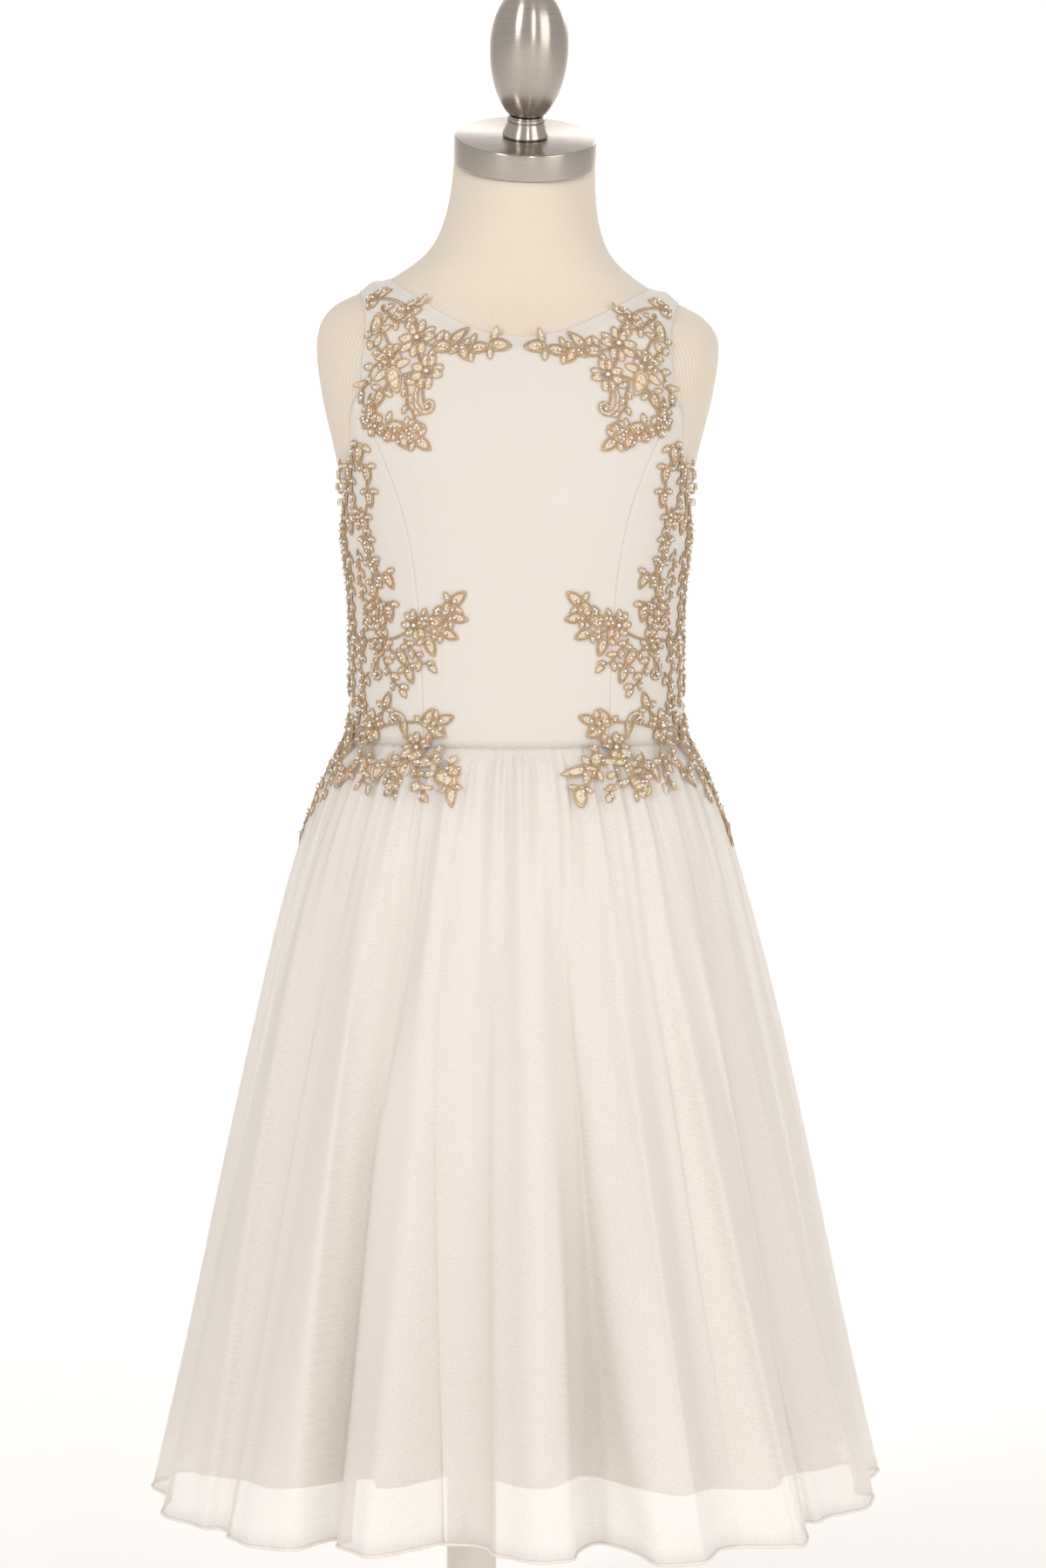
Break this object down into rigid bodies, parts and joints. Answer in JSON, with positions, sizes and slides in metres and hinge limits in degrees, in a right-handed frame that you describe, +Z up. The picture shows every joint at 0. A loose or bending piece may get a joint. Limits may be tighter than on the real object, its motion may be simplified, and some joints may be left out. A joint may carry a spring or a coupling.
{
  "type": "party dress on a dress form",
  "caption": "Child's sleeveless ivory party dress with a gathered chiffon skirt and gold appliqué lace, on a limbless dress form that stands on a pole and a round base.",
  "frame": {"origin": "on the floor under the middle of the dress, on the underside of the base plate", "axes": "+Z up; the front of the dress faces -Y; +X is to the right as seen from the front"},
  "size_m": [0.4973, 0.4367, 1.2135],
  "materials": {
    "crepe": "matt ivory crepe",
    "chiffon": "sheer ivory chiffon",
    "lining": "smooth ivory lining",
    "lace": "gold corded and beaded lace",
    "zip": "moulded zip chain",
    "jersey": "fine ribbed jersey",
    "metal": "brushed",
    "steel": "satin coated steel"
  },
  "bodies": {
    "dress_and_form": {"bodice_front": "crepe", "bodice_back_left": "crepe", "bodice_back_right": "crepe", "bodice_side_front_left": "crepe", "bodice_side_front_right": "crepe", "bodice_side_back_left": "crepe", "bodice_side_back_right": "crepe", "skirt_front": "chiffon", "skirt_back_left": "chiffon", "skirt_back_right": "chiffon", "lining_front": "lining", "lining_back_left": "lining", "lining_back_right": "lining", "lace_shoulder_left": "lace", "lace_shoulder_right": "lace", "lace_side_left": "lace", "lace_side_right": "lace", "lace_hip_left": "lace", "lace_hip_right": "lace", "zip_chain": "zip", "zip_slider": "metal", "form_torso": "jersey", "neck_cap": "metal", "finial_collar": "metal", "finial": "metal", "pole_socket": "steel", "pole": "steel", "base_plate": "steel"},
    "pull": {"zip_pull": "metal"}
  },
  "joints": [
    {"name": "zip_pull_swing", "type": "hinge", "parent": "dress_and_form", "child": "pull", "pos_m": [0.00077, 0.0929, 0.97382], "axis": [1, 0, 0], "range_deg": [0, 165]}
  ]
}
